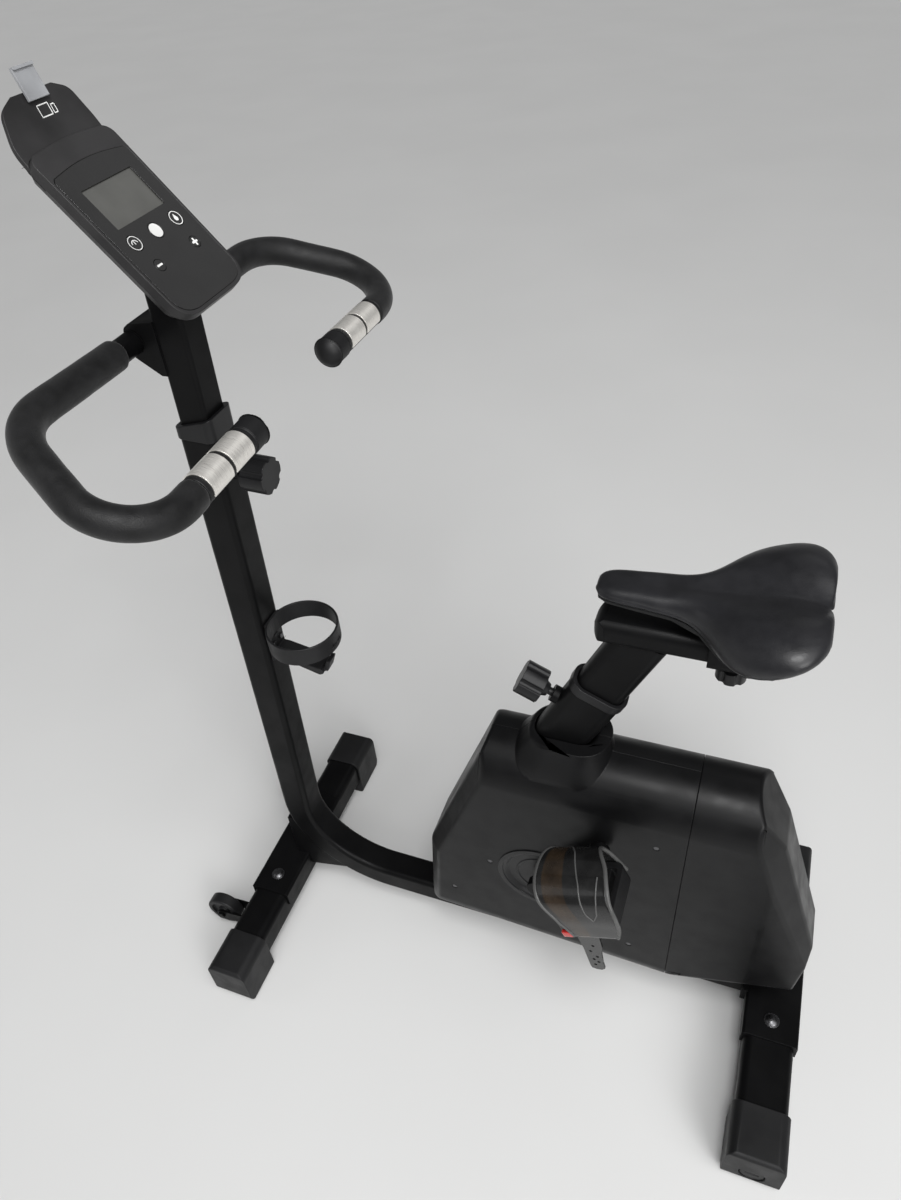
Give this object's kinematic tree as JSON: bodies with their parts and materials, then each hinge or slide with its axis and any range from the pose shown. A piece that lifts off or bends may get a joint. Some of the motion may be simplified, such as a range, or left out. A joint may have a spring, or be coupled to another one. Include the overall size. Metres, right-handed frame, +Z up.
{
  "type": "exercise bike",
  "caption": "Upright exercise bike: boxy covered drive on a bent tube frame, wide saddle, looped handlebar, console and pedals with foot straps.",
  "frame": {"origin": "on the floor, under the middle of the bounding box", "axes": "+X is the way the rider faces, +Y is the rider's left, +Z is up"},
  "size_m": [0.969, 0.5596, 1.2976],
  "materials": {
    "frame_paint": "satin black powder coat",
    "housing_plastic": "satin black",
    "foot_plastic": "matte black",
    "trim_plastic": "satin black",
    "foam": "soft dark grey foam",
    "saddle_cover": "soft dark grey vinyl",
    "plated_steel": "bright zinc plate",
    "contact_steel": "satin",
    "crank_paint": "satin black",
    "bearing_steel": "ground",
    "cast": "machined",
    "alloy": "cast",
    "belt_rubber": "ribbed",
    "magnet_steel": "plated",
    "console_shell": "fine texture dark grey",
    "console_gloss": "gloss dark grey",
    "display": "reflective grey display",
    "clip_plastic": "mid grey",
    "key_plastic": "gloss black",
    "pedal_plastic": "black",
    "strap_plastic": "gloss, slightly see-through black",
    "wheel_plastic": "black"
  },
  "bodies": {
    "frame": {"main_frame": "frame_paint", "seat_tube": "frame_paint", "frame_post": "frame_paint", "stabilizer_cradles": "frame_paint", "front_stabilizer": "frame_paint", "rear_stabilizer": "frame_paint", "end_caps": "foot_plastic", "stabilizer_bolts": "plated_steel", "wheel_brackets": "frame_paint", "mast_collar": "trim_plastic", "seat_collar": "trim_plastic", "crank_covers": "trim_plastic", "cover_screws": "plated_steel", "bearings": "bearing_steel", "flywheel_mount": "bearing_steel", "idler_arm": "bearing_steel", "drive_belt": "belt_rubber", "brake_servo": "foot_plastic", "bottle_holder": "foot_plastic", "housing_left": "housing_plastic", "housing_right": "housing_plastic", "rear_cover": "housing_plastic"},
    "flywheel_set": {"flywheel": "cast", "flywheel_pulley": "alloy"},
    "crank_set": {"crank_axle": "bearing_steel", "drive_pulley": "alloy", "crank_left": "crank_paint", "crank_right": "crank_paint"},
    "idler": {"idler_pulley": "alloy"},
    "left_pedal": {"pedal_left": "pedal_plastic", "pedal_left_strap": "strap_plastic"},
    "right_pedal": {"pedal_right": "pedal_plastic", "pedal_right_strap": "strap_plastic"},
    "brake_shoe": {"magnet_arm": "magnet_steel"},
    "top": {"upper_mast": "frame_paint", "handlebar": "frame_paint", "grips": "foam", "sensor_sleeves": "foot_plastic", "pulse_plates": "contact_steel", "console_back": "console_shell", "console_front": "console_shell", "console_window": "console_gloss", "display_board": "display"},
    "clip": {"tablet_clip": "clip_plastic"},
    "mast_pin": {"mast_knob": "trim_plastic"},
    "seat_pin": {"seat_knob": "trim_plastic"},
    "post": {"seat_post": "frame_paint"},
    "seat": {"seat_carriage": "frame_paint", "saddle_pan": "foot_plastic", "saddle": "saddle_cover"},
    "seat_clamp": {"slide_knob": "trim_plastic"},
    "left_wheel": {"wheel_left": "wheel_plastic"},
    "right_wheel": {"wheel_right": "wheel_plastic"},
    "left_leveller": {"leveller_left": "foot_plastic"},
    "right_leveller": {"leveller_right": "foot_plastic"},
    "button_mode": {"key_mode": "key_plastic"},
    "button_enter": {"key_enter": "key_plastic"},
    "button_reset": {"key_reset": "key_plastic"},
    "button_minus": {"key_minus": "key_plastic"},
    "button_plus": {"key_plus": "key_plastic"}
  },
  "joints": [
    {"name": "flywheel_spin", "type": "hinge", "parent": "frame", "child": "flywheel_set", "pos_m": [-0.3228, 0, 0.3], "axis": [0, 1, 0], "continuous": true},
    {"name": "crank_spin", "type": "hinge", "parent": "frame", "child": "crank_set", "pos_m": [-0.1018, 0, 0.2935], "axis": [0, 1, 0], "continuous": true},
    {"name": "idler_spin", "type": "hinge", "parent": "frame", "child": "idler", "pos_m": [-0.2488, 0, 0.2035], "axis": [0, 1, 0], "continuous": true},
    {"name": "left_pedal_spin", "type": "hinge", "parent": "crank_set", "child": "left_pedal", "pos_m": [-0.18129, 0.14, 0.42071], "axis": [0, 1, 0], "continuous": true},
    {"name": "right_pedal_spin", "type": "hinge", "parent": "crank_set", "child": "right_pedal", "pos_m": [-0.02231, -0.14, 0.16629], "axis": [0, 1, 0], "continuous": true},
    {"name": "brake_swing", "type": "hinge", "parent": "frame", "child": "brake_shoe", "pos_m": [-0.42311, 0, 0.23234], "axis": [0, 1, 0], "range_deg": [0, 8]},
    {"name": "mast_height", "type": "slide", "parent": "frame", "child": "top", "axis": [-0.0366, 0, 0.9993], "range_m": [-0.03, 0.09]},
    {"name": "clip_lift", "type": "slide", "parent": "top", "child": "clip", "axis": [0.3315, 0, 0.9434], "range_m": [0, 0.025], "stiffness_N_per_m": 120},
    {"name": "mast_pin_pull", "type": "slide", "parent": "frame", "child": "mast_pin", "axis": [-0.9993, 0, -0.0366], "range_m": [0, 0.012], "stiffness_N_per_m": 900, "springref_m": -0.004},
    {"name": "seat_pin_pull", "type": "slide", "parent": "frame", "child": "seat_pin", "axis": [0.9063, 0, 0.4226], "range_m": [0, 0.012], "stiffness_N_per_m": 900, "springref_m": -0.004},
    {"name": "seat_height", "type": "slide", "parent": "frame", "child": "post", "axis": [-0.4226, 0, 0.9063], "range_m": [-0.06, 0.08]},
    {"name": "seat_reach", "type": "slide", "parent": "post", "child": "seat", "axis": [1, 0, 0], "range_m": [-0.025, 0.035]},
    {"name": "seat_clamp_turn", "type": "hinge", "parent": "seat", "child": "seat_clamp", "pos_m": [-0.2988, 0, 0.72], "axis": [0, 0, 1], "range_deg": [0, 270]},
    {"name": "left_wheel_roll", "type": "hinge", "parent": "frame", "child": "left_wheel", "pos_m": [0.4532, 0.132, 0.034], "axis": [0, 1, 0], "continuous": true},
    {"name": "right_wheel_roll", "type": "hinge", "parent": "frame", "child": "right_wheel", "pos_m": [0.4532, -0.132, 0.034], "axis": [0, 1, 0], "continuous": true},
    {"name": "left_leveller_turn", "type": "hinge", "parent": "frame", "child": "left_leveller", "pos_m": [-0.4468, 0.247, 0.034], "axis": [0, 1, 0], "range_deg": [-180, 180]},
    {"name": "right_leveller_turn", "type": "hinge", "parent": "frame", "child": "right_leveller", "pos_m": [-0.4468, -0.247, 0.034], "axis": [0, 1, 0], "range_deg": [-180, 180]},
    {"name": "mode_press", "type": "slide", "parent": "top", "child": "button_mode", "axis": [0.7513, 0, -0.66], "range_m": [0, 0.0008], "stiffness_N_per_m": 400, "springref_m": -0.0002},
    {"name": "enter_press", "type": "slide", "parent": "top", "child": "button_enter", "axis": [0.7513, 0, -0.66], "range_m": [0, 0.0008], "stiffness_N_per_m": 400, "springref_m": -0.0002},
    {"name": "reset_press", "type": "slide", "parent": "top", "child": "button_reset", "axis": [0.7513, 0, -0.66], "range_m": [0, 0.0008], "stiffness_N_per_m": 400, "springref_m": -0.0002},
    {"name": "minus_press", "type": "slide", "parent": "top", "child": "button_minus", "axis": [0.7513, 0, -0.66], "range_m": [0, 0.0008], "stiffness_N_per_m": 400, "springref_m": -0.0002},
    {"name": "plus_press", "type": "slide", "parent": "top", "child": "button_plus", "axis": [0.7513, 0, -0.66], "range_m": [0, 0.0008], "stiffness_N_per_m": 400, "springref_m": -0.0002}
  ],
  "couplings": [
    {"joint": "crank_spin", "follows": "flywheel_spin", "ratio": 0.16388},
    {"joint": "idler_spin", "follows": "flywheel_spin", "ratio": -1.4}
  ]
}
